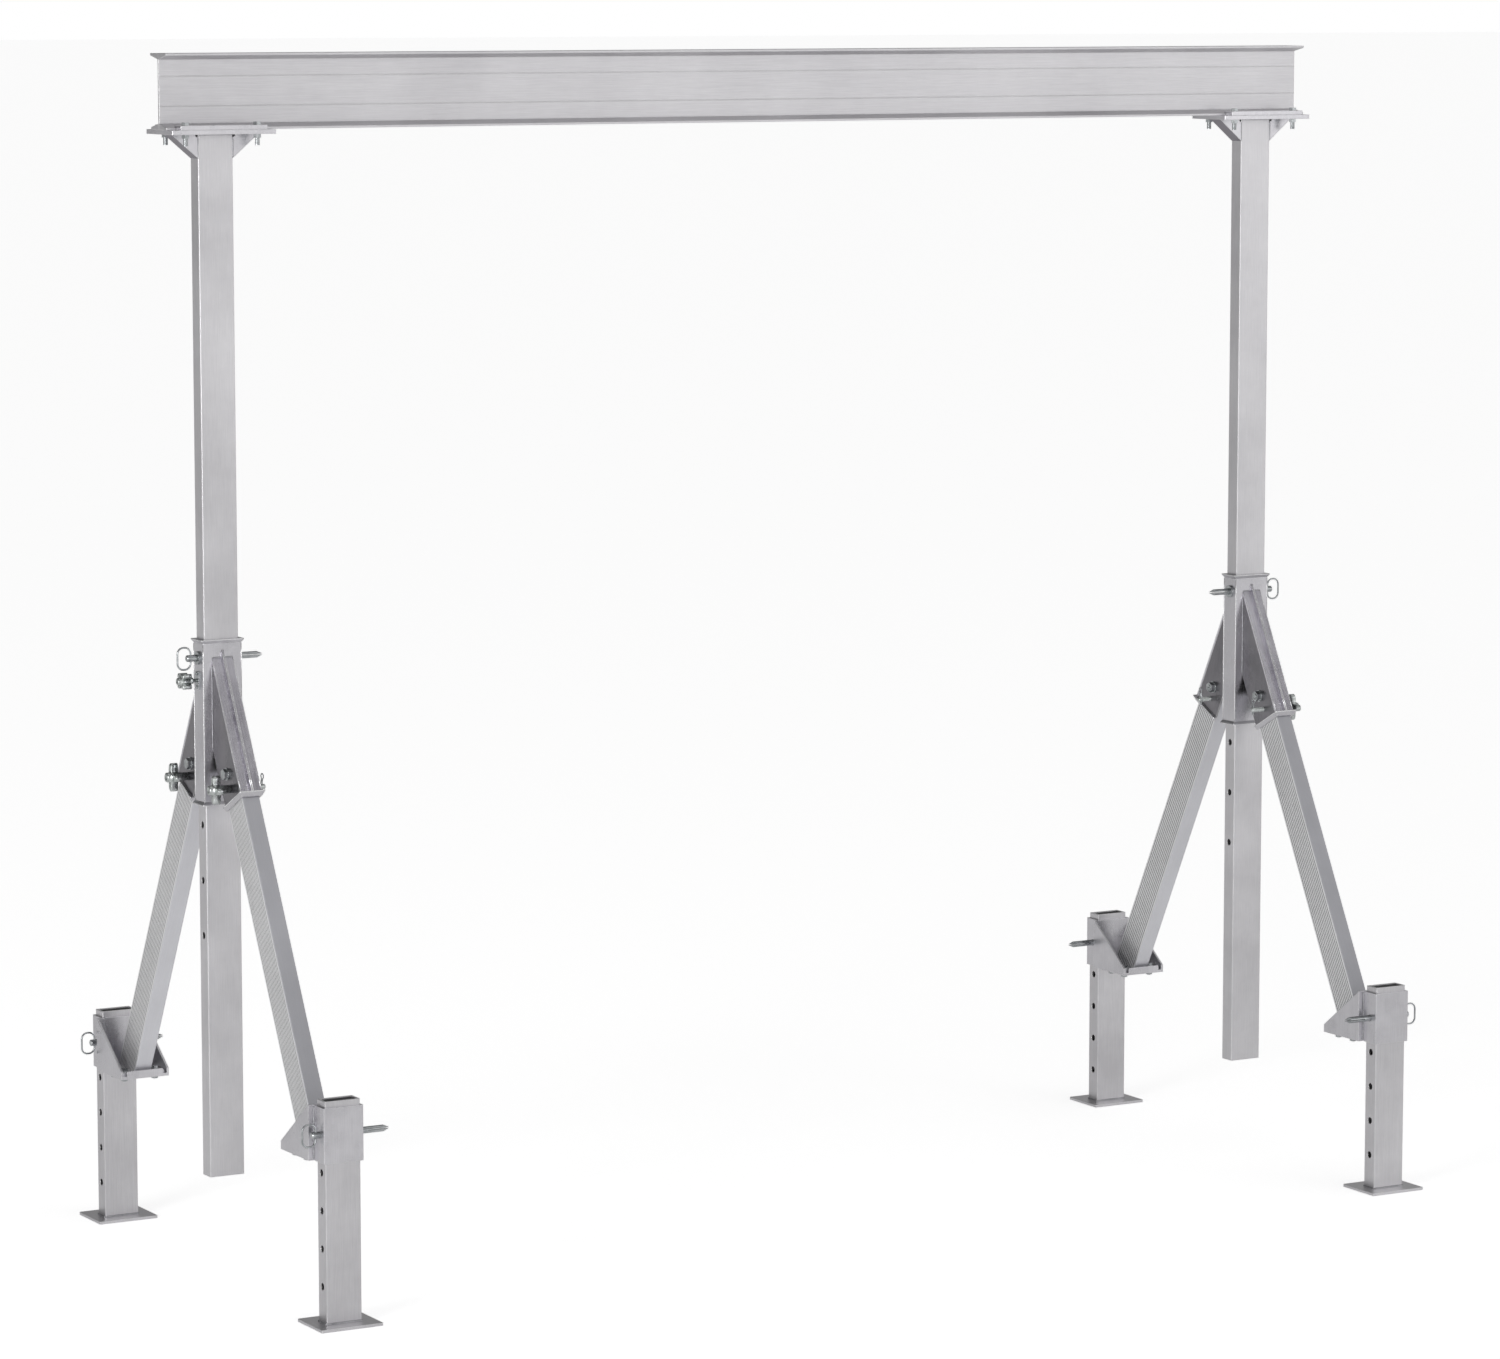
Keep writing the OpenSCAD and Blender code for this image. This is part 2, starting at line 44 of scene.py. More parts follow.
MAST_X = 1.66
LEAN = math.radians(27.5)
HINGE = Vector((0, 0.120, 1.366))
LOCK_REACH = 0.042
FOOT_Y = 0.7285
HEAD_Y = 0.031
CHEEK_OUT = 0.030
CLAMP_Z = 1.606
CLIP_X = 0.063
BEAM_BOLT_X, BEAM_BOLT_Y = 0.103, 0.065
BRACKET_BOLT_X, BRACKET_BOLT_Y = 0.0455, (0.565, 0.635)
SIDES = {"left": -1, "right": 1}
ENDS = {"front": -1, "rear": 1}

# Where this script's own threads and painted highlight strips run, and where a leg's ribs and grooves end.
THREAD_R = 0.0058
SLEEVE_X, SLEEVE_Y = 0.0555, 0.0305
RIM_X, RIM_Y, RIMS_Z = 0.0615, 0.0340, (1.2718, 1.7152)
COVER_X, COVER_OUT = 0.0297, 0.0597
SPINE_X, SPINE_OUT = 0.0022, 0.0697
COLLAR_X, COLLAR_LIP = 0.0357, -0.0755
RIBS_END = (0.0480, 0.0492)
GROOVES_END = (0.0243, 0.0248)


def tower(side):
    """From a tower's own frame, outboard side at +X, to its place."""
    return Matrix.Translation((side * MAST_X, 0, 0)) @ Matrix.Diagonal((side, 1, 1, 1))


def corner(side, end):
    """From a leg's own frame, outer side at +Y, to its place."""
    return tower(side) @ Matrix.Diagonal((1, end, 1, 1))


def on_leg(x, y, z):
    """A point given along the leg from its hinge, in the leg's own frame."""
    return HINGE + Matrix.Rotation(LEAN, 3, "X") @ Vector((x, y, z))


# ---- materials ----

def shader(name):
    """A new node material, its principled shader and a short way to add nodes."""
    mat = bpy.data.materials.new(name)
    mat.use_nodes = True
    tree = mat.node_tree
    bsdf = tree.nodes["Principled BSDF"]

    def add(kind, *values, **inputs):
        node = tree.nodes.new(kind)
        for i, value in enumerate(values):
            plug(node.inputs[i], value)
        for key, value in inputs.items():
            plug(node.inputs[key.replace("_", " ")], value)
        return node

    def plug(socket, value):
        if isinstance(value, bpy.types.NodeSocket):
            tree.links.new(value, socket)
        else:
            socket.default_value = value

    return mat, bsdf, add, plug


def place(add, lean):
    """Object coordinates turned so that Z runs along a leg that leans outwards on either side."""
    coords = add("ShaderNodeTexCoord").outputs["Object"]
    if not lean:
        return coords
    parts = add("ShaderNodeSeparateXYZ", coords)
    away = maths(add, "ABSOLUTE", parts.outputs[1])
    joined = add("ShaderNodeCombineXYZ", parts.outputs[0], away, parts.outputs[2])
    turned = add("ShaderNodeMapping", joined.outputs[0])
    turned.inputs["Rotation"].default_value = (-lean, 0, 0)
    return turned.outputs[0]


def grain(add, coords, stretch, scale, detail=4.0, rough=0.55):
    """Noise stretched by the three factors, as a number from 0 to 1."""
    turned = add("ShaderNodeMapping", coords)
    turned.inputs["Scale"].default_value = stretch
    node = add("ShaderNodeTexNoise", Vector=turned.outputs[0], Scale=scale, Detail=detail, Roughness=rough)
    return node.outputs["Fac"]


def spread(add, value, low, high, into_low, into_high):
    """Maps a number from one range to another, clamped."""
    node = add("ShaderNodeMapRange", value, low, high, into_low, into_high)
    return node.outputs[0]


def maths(add, operation, *values):
    """The result of one math node."""
    node = add("ShaderNodeMath", *values)
    node.operation = operation
    return node.outputs[0]


def mixed(add, plug, factor, first, second, kind="MIX"):
    """Two colours mixed by a factor."""
    node = add("ShaderNodeMix")
    node.data_type = "RGBA"
    node.blend_type = kind
    plug(node.inputs[0], factor)
    plug(node.inputs[6], first)
    plug(node.inputs[7], second)
    return node.outputs[2]


def tint(add, factor, dark, light):
    """A colour between two, by a number."""
    node = add("ShaderNodeMix")
    node.data_type = "RGBA"
    tree = node.id_data
    tree.links.new(factor, node.inputs[0])
    node.inputs[6].default_value = (*dark, 1)
    node.inputs[7].default_value = (*light, 1)
    return node.outputs[2]


def multiply(add, plug, first, second):
    """Two colours multiplied."""
    return mixed(add, plug, 1, first, second, "MULTIPLY")


def metal(name, dark, light, rough, along=(40, 40, 1), lean=0, streaks=0.5, scratch=0.35,
          mottle=3.0, edge=0.0028, anisotropy=0.3, flat=0.12, over=None, metallic=1.0):
    """Worked metal: long streaks, cross scratches, cloudy patches, and a painted highlight that whitens the
    edges.
    """
    mat, bsdf, add, plug = shader(name)
    coords = place(add, lean)
    streak = grain(add, coords, along, 12, 6, 0.7)
    fine = grain(add, coords, tuple(5 * a for a in along), 16, 3, 0.6)
    cloud = grain(add, coords, (1, 1, 1), mottle, 5, 0.6)
    mark = grain(add, coords, tuple(30 if a > 1 else 260 for a in along), 3, 2, 0.5)
    worked = maths(add, "MULTIPLY_ADD", streak, streaks, cloud)
    shade = spread(add, worked, 0.35 + 0.4 * streaks, 0.65 + 0.6 * streaks, 0, 1)
    colour = tint(add, shade, dark, light)
    bevelled = add("ShaderNodeBevel", Radius=edge)
    bevelled.samples = 4
    facing = add("ShaderNodeVectorMath")
    facing.operation = "DOT_PRODUCT"
    plug(facing.inputs[0], bevelled.outputs[0])
    plug(facing.inputs[1], add("ShaderNodeNewGeometry").outputs["Normal"])
    # Painted highlight: base colour whitened where the bevel normal turns from the face's own; the bevel also
    # rounds the edges' shading.
    painted_edge_highlight = spread(add, facing.outputs["Value"], 0.995, 0.80, 0, 1.0)
    bright = mixed(add, plug, painted_edge_highlight, colour, (1, 1, 1, 1))
    finished = over(add, plug, coords, bright) if over else bright
    plug(bsdf.inputs["Base Color"], finished)
    bsdf.inputs["Metallic"].default_value = metallic
    bsdf.inputs["Anisotropic"].default_value = anisotropy
    uneven = maths(add, "MULTIPLY_ADD", fine, 0.5, cloud)
    plug(bsdf.inputs["Roughness"], spread(add, uneven, 0.4, 1.1, rough - 0.09, rough + 0.12))
    height = maths(add, "MULTIPLY_ADD", fine, scratch, streak)
    higher = maths(add, "MULTIPLY_ADD", mark, 0.25, height)
    bump = add("ShaderNodeBump", Strength=flat, Distance=0.0006, Height=higher)
    plug(bump.inputs["Normal"], bevelled.outputs[0])
    plug(bsdf.inputs["Normal"], bump.outputs[0])
    return mat


def rib_painted_light_and_shade(add, plug, coords, colour):
    """A leg's colour with painted light and shade: rib faces lightest, grooves near black as painted shade,
    and the outer smooth face darker than the inner as painted shade.
    """
    across = add("ShaderNodeSeparateXYZ", coords).outputs
    axis_y = HINGE.y * math.cos(LEAN) + HINGE.z * math.sin(LEAN)
    off_axis = maths(add, "SUBTRACT", across[1], axis_y)
    depth = maths(add, "ABSOLUTE", off_axis)
    from_mid = maths(add, "SUBTRACT", maths(add, "ABSOLUTE", across[0]), MAST_X)
    width = maths(add, "ABSOLUTE", from_mid)
    on_ribs = spread(add, depth, *RIBS_END, 1, 0)
    sunk = spread(add, width, *GROOVES_END, 1, 0)
    # Painted shade: outer smooth face darker than the inner one, grooves near black.
    outer = spread(add, off_axis, -0.01, 0.01, 0, 1)
    smooth = tint(add, outer, (0.84, 0.84, 0.87), (0.58, 0.58, 0.61))
    tone = mixed(add, plug, on_ribs, smooth, (1, 1, 1, 1))
    groove_painted_shade = maths(add, "MULTIPLY", on_ribs, sunk)
    shaded = mixed(add, plug, groove_painted_shade, tone, (0.08, 0.08, 0.085, 1))
    return multiply(add, plug, colour, shaded)


def painted_shade_below(add, plug, _coords, colour):
    """Faces turned downwards painted darker, as painted shade under the part."""
    facing = add("ShaderNodeSeparateXYZ", add("ShaderNodeNewGeometry").outputs["Normal"]).outputs[2]
    shade = tint(add, spread(add, facing, -0.5, -0.2, 0, 1), (0.38, 0.36, 0.39), (1, 1, 1))
    return multiply(add, plug, colour, shade)


def plastic(name, dark, light):
    """Moulded black plastic with a fine grain and patches of dust."""
    mat, bsdf, add, plug = shader(name)
    coords = place(add, 0)
    pebble = grain(add, coords, (1, 1, 1), 900, 3, 0.6)
    dust = grain(add, coords, (1, 1, 1), 25, 5, 0.7)
    plug(bsdf.inputs["Base Color"], tint(add, spread(add, dust, 0.45, 0.75, 0, 1), dark, light))
    plug(bsdf.inputs["Roughness"], spread(add, dust, 0.3, 0.7, 0.5, 0.75))
    bump = add("ShaderNodeBump", Strength=0.35, Distance=0.0004, Height=pebble)
    plug(bsdf.inputs["Normal"], bump.outputs[0])
    return mat


def weld_metal(name):
    """Aluminium weld: dull, rippled and patchy with soot."""
    mat, bsdf, add, plug = shader(name)
    coords = place(add, 0)
    cloud = grain(add, coords, (1, 1, 1), 60, 6, 0.7)
    ripple = grain(add, coords, (1, 1, 1), 420, 2, 0.5)
    soot = spread(add, cloud, 0.3, 0.7, 0, 1)
    plug(bsdf.inputs["Base Color"], tint(add, soot, (0.34, 0.34, 0.36), (0.60, 0.60, 0.62)))
    bsdf.inputs["Metallic"].default_value = 1.0
    plug(bsdf.inputs["Roughness"], spread(add, cloud, 0.3, 0.7, 0.34, 0.52))
    bump = add("ShaderNodeBump", Strength=0.4, Distance=0.0005, Height=ripple)
    plug(bsdf.inputs["Normal"], bump.outputs[0])
    return mat


LENGTHWISE_X = (1, 40, 40)
LENGTHWISE_Z = (40, 40, 1)
beam_metal = metal("beam_mill_finish", (0.60, 0.59, 0.61), (0.80, 0.79, 0.81), 0.40, LENGTHWISE_X,
                   scratch=0.5, mottle=1.6)
tube_metal = metal("tube_extruded", (0.62, 0.61, 0.63), (0.80, 0.79, 0.81), 0.36, LENGTHWISE_Z)
# Legs: the colour carries painted light and shade, face by face.
rib_metal = metal("leg_extruded", (0.86, 0.86, 0.87), (0.98, 0.98, 0.99), 0.40, LENGTHWISE_Z, lean=LEAN,
                  edge=0.0003, over=rib_painted_light_and_shade, metallic=0.6)
plate_metal = metal("plate_brushed", (0.60, 0.59, 0.62), (0.78, 0.77, 0.80), 0.27, LENGTHWISE_Z, mottle=6,
                    edge=0.002)
# Braces: faces turned downwards painted darker, as painted shade.
brace_metal = metal("brace_plate", (0.60, 0.59, 0.62), (0.78, 0.77, 0.80), 0.30, LENGTHWISE_Z, mottle=6,
                    over=painted_shade_below)
# Near-white polished metal for the strips that put painted highlight lines on the edges.
highlight_strip_metal = metal("edge_highlight_strip", (0.90, 0.90, 0.91), (1.0, 1.0, 1.0), 0.22, LENGTHWISE_Z, streaks=0.2,
                   mottle=30, edge=0.0003)
cover_metal = metal("cover_brushed", (0.52, 0.50, 0.56), (0.92, 0.90, 0.96), 0.26, LENGTHWISE_Z,
                    lean=LEAN, streaks=1.2, mottle=4, edge=0.0008)
# Cheeks: base colour painted dark, as painted shade of the corner between cheek and sleeve.
cheek_painted_shade_metal = metal("cheek_painted_shade", (0.21, 0.205, 0.22), (0.32, 0.31, 0.33), 0.26, LENGTHWISE_Z, mottle=7)
liner_metal = metal("liner_dull", (0.46, 0.45, 0.48), (0.66, 0.65, 0.68), 0.42, LENGTHWISE_X, mottle=9)
zinc_metal = metal("zinc_bright", (0.36, 0.38, 0.39), (0.62, 0.64, 0.65), 0.20, LENGTHWISE_X, streaks=0.3,
                   mottle=40, edge=0.0006)
knob_metal = metal("zinc_cast", (0.48, 0.51, 0.50), (0.76, 0.79, 0.78), 0.26, LENGTHWISE_X, streaks=0.15,
                   mottle=55, edge=0.001, flat=0.3)
weld = weld_metal("weld_bead")
cap_plastic = plastic("cap_moulded", (0.012, 0.012, 0.014), (0.05, 0.05, 0.052))

LOOKS = {
    "beam": beam_metal, "post": tube_metal, "top_plate": plate_metal, "braces": brace_metal,
    "clamp_bars": plate_metal, "beam_bolts": zinc_metal, "head_sleeve": plate_metal,
    "head_cheeks": cheek_painted_shade_metal, "head_covers": cover_metal, "head_collars": plate_metal,
    "head_liners": liner_metal, "pin_bosses": zinc_metal, "hinge_bolts": zinc_metal,
    "leg": rib_metal, "bracket": plate_metal, "bolts": zinc_metal, "foot": tube_metal,
    "cap": cap_plastic, "pin": zinc_metal, "knob": knob_metal, "clip": zinc_metal,
}
for name, node in nodes.items():
    look = LOOKS[max((end for end in LOOKS if name.endswith(end)), key=len)]
    node.data.materials.clear()
    node.data.materials.append(look)


# ---- pieces ----

def piece(name, body, slot, look, verts, faces, smooth=True, stands_for=()):
    """A mesh piece that rides on a body and wears one material."""
    mesh = bpy.data.meshes.new(name)
    mesh.from_pydata([tuple(v) for v in verts], [], faces)
    shape = bmesh.new()
    shape.from_mesh(mesh)
    bmesh.ops.recalc_face_normals(shape, faces=shape.faces)
    shape.to_mesh(mesh)
    shape.free()
    if smooth:
        mesh.shade_smooth()
    obj = bpy.data.objects.new(name, mesh)
    bpy.context.scene.collection.objects.link(obj)
    mesh.materials.append(look)
    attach(obj, body)
    if stands_for:
        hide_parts(*stands_for)
    return obj


def sweep(path, radius_at, sides=10):
    """Vertices and faces of a tube along a path; radius_at(i) is its radius at point i."""
    count = len(path)
    verts, faces = [], []
    up = None
    for i, point in enumerate(path):
        before = path[i - 1] if i else point
        after = path[i + 1] if i + 1 < count else point
        along = (after - before).normalized()
        if up is None:
            up = along.orthogonal().normalized()
        up = (up - along * up.dot(along)).normalized()
        out = along.cross(up)
        for k in range(sides):
            turn = 2 * math.pi * k / sides
            verts.append(point + radius_at(i) * (math.cos(turn) * up + math.sin(turn) * out))
    for i in range(count - 1):
        for k in range(sides):
            beside = (k + 1) % sides
            faces.append((i * sides + k, i * sides + beside, (i + 1) * sides + beside, (i + 1) * sides + k))
    faces.append(tuple(reversed(range(sides))))
    faces.append(tuple((count - 1) * sides + k for k in range(sides)))
    return verts, faces


def join(parts):
    """Several (vertices, faces) pairs as one."""
    verts, faces = [], []
    for more_verts, more_faces in parts:
        start = len(verts)
        verts += more_verts
        faces += [tuple(start + i for i in face) for face in more_faces]
    return verts, faces


def bead(start, stop, radius=0.0028, pitch=0.0042):
    """A weld bead from one point to another: overlapping ripples of slightly uneven size."""
    start, stop = Vector(start), Vector(stop)
    steps = max(4, round((stop - start).length / pitch * 4))
    path = [start.lerp(stop, i / steps) for i in range(steps + 1)]

    def radius_at(i):
        ripple = 0.86 + 0.14 * abs(math.sin(math.pi * i / 4))
        uneven = 1 + 0.12 * noise.noise(path[i] * 90)
        taper = min(1, 0.4 + 0.3 * min(i, steps - i))
        return radius * ripple * uneven * taper

    return sweep(path, radius_at, sides=8)


def moved(parts, matrix):
    """The same vertices and faces, moved by a matrix."""
    verts, faces = parts
    return [matrix @ Vector(v) for v in verts], faces


def spin(profile, matrix, lobes=None, segments=64):
    """A shape turned about X from (x, radius, lobe share) rings; lobes(angle) widens a ring by its share."""
    verts, faces = [], []
    for x, radius, share in profile:
        for k in range(segments):
            turn = 2 * math.pi * k / segments
            r = radius * (1 + share * lobes(turn)) if lobes else radius
            verts.append(matrix @ Vector((x, r * math.cos(turn), r * math.sin(turn))))
    for i in range(len(profile) - 1):
        for k in range(segments):
            n = (k + 1) % segments
            faces.append((i * segments + k, i * segments + n, (i + 1) * segments + n, (i + 1) * segments + k))
    faces.append(tuple(range(segments)))
    faces.append(tuple((len(profile) - 1) * segments + k for k in range(segments)))
    return verts, faces


def thread(centre, radius, bottom, top, pitch=0.0018):
    """A helical ridge round a vertical shaft."""
    turns = (top - bottom) / pitch
    steps = round(turns * 24)
    path = []
    for i in range(steps + 1):
        angle = 2 * math.pi * i / 24
        height = bottom + (top - bottom) * i / steps
        path.append(Vector(centre) + Vector((radius * math.cos(angle), radius * math.sin(angle), height)))
    return sweep(path, lambda i: pitch * 0.42, sides=5)


def lobed(turn):
    """A knob's outline with four rounded arms: 0 in a hollow, 1 at an arm's tip."""
    width, hollow = 0.24, 0.45
    tip = 1 - width
    off = abs((turn + math.pi / 4) % (math.pi / 2) - math.pi / 4)
    if tip * math.tan(off) < width:
        arm = tip * math.cos(off) + math.sqrt(max(width ** 2 - (tip * math.sin(off)) ** 2, 0))
    else:
        arm = width / math.sin(off)
    outline = (arm ** 10 + hollow ** 10) ** 0.1
    return min(max((outline - hollow) / (1 - hollow), 0), 1)


def star_knob(near, far, reach, hub, hub_end, shaft, shaft_from, shaft_r):
    """Rings of a lobed knob on a shaft: rounded rims, a dished face and a domed hub."""
    core = 0.45 * reach
    share = reach / core - 1
    rim = 0.003
    rings = [(shaft_from, shaft_r * 0.75, 0), (shaft_from + 0.002, shaft_r, 0), (shaft, shaft_r, 0)]
    rings += [(shaft, hub * 0.86, 0), (near - 0.004, hub * 0.9, 0), (near, core * 0.8, 0.3 * share)]
    for k in range(5):
        inset = rim * (1 - math.sin(math.pi / 2 * k / 4))
        rings.append((near + inset, core - inset, share * (0.93 + 0.07 * k / 4)))
    for k in range(5):
        turn = math.pi / 2 * k / 4
        rings.append((far - rim * (1 - math.sin(turn)), core - rim * (1 - math.cos(turn)),
                      share * (1 - 0.07 * k / 4)))
    rings += [(far - 0.0015, core * 0.82, 0.35 * share), (far - 0.0015, hub * 1.06, 0)]
    rings += [(hub_end - 0.004, hub, 0), (hub_end - 0.0012, hub * 0.9, 0)]
    rings += [(hub_end, hub * 0.62, 0), (hub_end - 0.0015, hub * 0.45, 0)]
    return rings


def smooth_path(points, per=8):
    """A Catmull-Rom curve through the points."""
    pts = [Vector(p) for p in points]
    path = []
    for i in range(len(pts) - 1):
        p0, p1, p2, p3 = pts[max(i - 1, 0)], pts[i], pts[i + 1], pts[min(i + 2, len(pts) - 1)]
        for k in range(per):
            t = k / per
            square, cube = 2 * p0 - 5 * p1 + 4 * p2 - p3, 3 * p1 - p0 - 3 * p2 + p3
            path.append(0.5 * (2 * p1 + (p2 - p0) * t + square * t * t + cube * t ** 3))
    return path + [pts[-1]]


def even(start, stop, steps=12):
    """Points evenly spaced from one point to another."""
    return [Vector(start).lerp(Vector(stop), i / steps) for i in range(steps + 1)]


def cover_top(x, out):
    """Where a line up a cover, out from the hinge line, meets the sleeve's face."""
    up = (HINGE.y + out * math.cos(LEAN) - HEAD_Y) / math.sin(LEAN)
    return on_leg(x, out, up)


def lock_parts(side, end):
    """The frame of a lock bolt: on its axis, with Z upright."""
    return corner(side, end) @ Matrix.Translation(on_leg(0, 0, -LOCK_REACH))


for side_name, side in SIDES.items():
    here = tower(side)
    head, mast = f"{side_name}_head", f"{side_name}_mast"

    # Welds of the sockets on the sleeve, of the post under its plate, and of the braces.
    beads = []
    for e in (-1, 1):
        for s in (-1, 1):
            x, y = s * (CHEEK_OUT + 0.0008), e * (HEAD_Y + 0.0008)
            beads.append(bead((x, y, 1.425), (x, y, 1.646), 0.0015))
        y = e * (HEAD_Y + 0.001)
        beads.append(bead((-CHEEK_OUT, y, 1.668), (-0.0035, y, 1.668), 0.0022))
        beads.append(bead((0.0035, y, 1.668), (CHEEK_OUT, y, 1.668), 0.0022))
    beads = [moved(b, here) for b in beads]
    piece(f"{side_name}_socket_welds", head, "plate_aluminium", weld, *join(beads))
    under = 3.0552
    beads = [bead((-0.05, e * 0.0262, under), (0.05, e * 0.0262, under), 0.0026) for e in (-1, 1)]
    beads += [bead((s * 0.0508, e * 0.024, 2.994), (s * 0.0508, e * 0.024, 3.046), 0.002)
              for s in (-1, 1) for e in (-1, 1)]
    beads = [moved(b, here) for b in beads]
    piece(f"{side_name}_post_welds", mast, "plate_aluminium", weld, *join(beads))

    # Painted highlight lines: thin near-white polished strips along the edges of the sleeve, its rims, the
    # covers with their spines, and the collars.
    edges = [[(s * SLEEVE_X, e * SLEEVE_Y, 1.283), (s * SLEEVE_X, e * SLEEVE_Y, 1.704)]
             for s in (-1, 1) for e in (-1, 1)]
    for z in RIMS_Z:
        corners = [(-RIM_X, -RIM_Y, z), (RIM_X, -RIM_Y, z), (RIM_X, RIM_Y, z), (-RIM_X, RIM_Y, z)]
        edges += [[corners[i], corners[(i + 1) % 4]] for i in range(4)]
    for e in (-1, 1):
        lines = []
        for half, reach in ((COVER_X, COVER_OUT), (SPINE_X, SPINE_OUT)):
            lines += [[on_leg(x, reach, -0.074), cover_top(x, reach)] for x in (-half, half)]
        left_end, right_end = (on_leg(x, SPINE_OUT, COLLAR_LIP) for x in (-COLLAR_X, COLLAR_X))
        lines += [[on_leg(-COLLAR_X, -0.055, COLLAR_LIP), left_end]]
        lines += [[on_leg(COLLAR_X, -0.055, COLLAR_LIP), right_end], [left_end, right_end]]
        edges += [[(p[0], e * p[1], p[2]) for p in line] for line in lines]
    edges = [moved(sweep(even(*line), lambda i: 0.0013, 8), here) for line in edges]
    piece(f"{side_name}_head_highlight_strips", head, "plate_aluminium", highlight_strip_metal, *join(edges))

    # Threads on the free ends of the beam bolts.
    turns = [thread((x, y, 0), THREAD_R, 3.0275, 3.0452)
             for x in (-BEAM_BOLT_X, BEAM_BOLT_X) for y in (-BEAM_BOLT_Y, BEAM_BOLT_Y)]
    piece(f"{side_name}_beam_bolt_threads", mast, "zinc", zinc_metal, *moved(join(turns), here))

    for end_name, end in ENDS.items():
        corner_name = f"{side_name}_{end_name}"
        there = corner(side, end)

        # A lobed knob with its bolt, and a hairpin clip through the bolt's far end.
        rings = star_knob(0.062, 0.082, 0.0385, 0.013, 0.094, 0.0315, -0.0705, 0.007)
        piece(f"{corner_name}_star_knob", f"{corner_name}_lock", "knob_zinc", knob_metal,
              *spin(rings, lock_parts(side, end), lobed, 128), stands_for=[f"{corner_name}_knob"])
        wire = [(0, 0, -0.0165), (0, 0, -0.004), (0, 0, 0.010), (0, 0.0015, 0.019),
                (0, 0.0078, 0.0265), (0, 0.0045, 0.0335), (0, -0.0035, 0.0345),
                (0, -0.0080, 0.0285), (0, -0.0055, 0.021), (0, -0.0075, 0.013),
                (0, -0.0095, 0.004), (0, -0.0090, -0.004), (0, -0.0060, -0.010),
                (0, -0.0085, -0.0155)]
        wire = [lock_parts(side, end) @ (Vector(p) + Vector((-CLIP_X, 0, 0))) for p in smooth_path(wire)]
        piece(f"{corner_name}_hairpin", f"{corner_name}_lock", "zinc", zinc_metal,
              *sweep(wire, lambda i: 0.0015, 12), stands_for=[f"{corner_name}_clip"])

        # Welds of the tube on its base plate, and of the bracket's gussets on its sleeve.
        low = 0.0085
        beads = [bead((-0.05, FOOT_Y + e * 0.0258, low), (0.05, FOOT_Y + e * 0.0258, low), 0.003)
                 for e in (-1, 1)]
        beads += [bead((s * 0.0508, FOOT_Y - 0.025, low), (s * 0.0508, FOOT_Y + 0.025, low), 0.003)
                  for s in (-1, 1)]
        piece(f"{corner_name}_foot_welds", f"{corner_name}_foot_set", "tube_aluminium", weld,
              *moved(join(beads), there))
        back = 0.6994
        beads = [bead((s * 0.0573, back, 0.436), (s * 0.0573, back, 0.574), 0.0024) for s in (-1, 1)]
        piece(f"{corner_name}_bracket_welds", f"{corner_name}_leg_set", "plate_aluminium", weld,
              *moved(join(beads), there))
        turns = [thread((x, y, 0), THREAD_R, 0.4205, 0.4268, 0.0014)
                 for x in (-BRACKET_BOLT_X, BRACKET_BOLT_X) for y in BRACKET_BOLT_Y]
        piece(f"{corner_name}_bolt_threads", f"{corner_name}_leg_set", "zinc", zinc_metal,
              *moved(join(turns), there))

# The clamp screw's knob on the left head, and the screws of its plate.
left = tower(-1)
rings = star_knob(0.084, 0.110, 0.0265, 0.010, 0.119, 0.074, 0.0503, 0.005)
tilted = left @ Matrix.Translation((0, 0, CLAMP_Z)) @ Matrix.Rotation(math.pi / 4, 4, "X")
piece("clamp_star_knob", "left_clamp", "knob_zinc", knob_metal, *spin(rings, tilted, lobed, 128),
      stands_for=["clamp_knob"])
screws = []
for z in (CLAMP_Z - 0.018, CLAMP_Z + 0.018):
    head_rings = [(0.0605, 0.0046, 0), (0.0622, 0.0045, 0), (0.0634, 0.0036, 0),
                  (0.0638, 0.0022, 0), (0.0625, 0.0018, 0)]
    screws.append(spin(head_rings, left @ Matrix.Translation((0, 0, z)), None, 32))
piece("clamp_plate_screws", "left_head", "zinc", zinc_metal, *join(screws))

# ---- floor, light and camera ----

floor_mesh = bpy.data.meshes.new("floor")
floor_corners = [(x, y, -0.0005) for x, y in ((-300, -300), (300, -300), (300, 300), (-300, 300))]
floor_mesh.from_pydata(floor_corners, [], [(0, 1, 2, 3)])
floor = bpy.data.objects.new("floor", floor_mesh)
bpy.context.scene.collection.objects.link(floor)
floor_look, floor_bsdf, add, plug = shader("floor_pale")
floor_bsdf.inputs["Base Color"].default_value = (0.93, 0.93, 0.93, 1)
floor_bsdf.inputs["Emission Color"].default_value = (1, 1, 1, 1)
floor_bsdf.inputs["Emission Strength"].default_value = 0.20
floor_bsdf.inputs["Roughness"].default_value = 0.9
bright_floor = add("ShaderNodeBsdfDiffuse", (0.95, 0.95, 0.95, 1))
lift = add("ShaderNodeEmission", (1, 1, 1, 1), 0.62)
shown = add("ShaderNodeAddShader", bright_floor.outputs[0], lift.outputs[0])
seen_directly = add("ShaderNodeLightPath").outputs["Is Camera Ray"]
choice = add("ShaderNodeMixShader", seen_directly, floor_bsdf.outputs[0], shown.outputs[0])
plug(floor_look.node_tree.nodes["Material Output"].inputs["Surface"], choice.outputs[0])
floor_mesh.materials.append(floor_look)

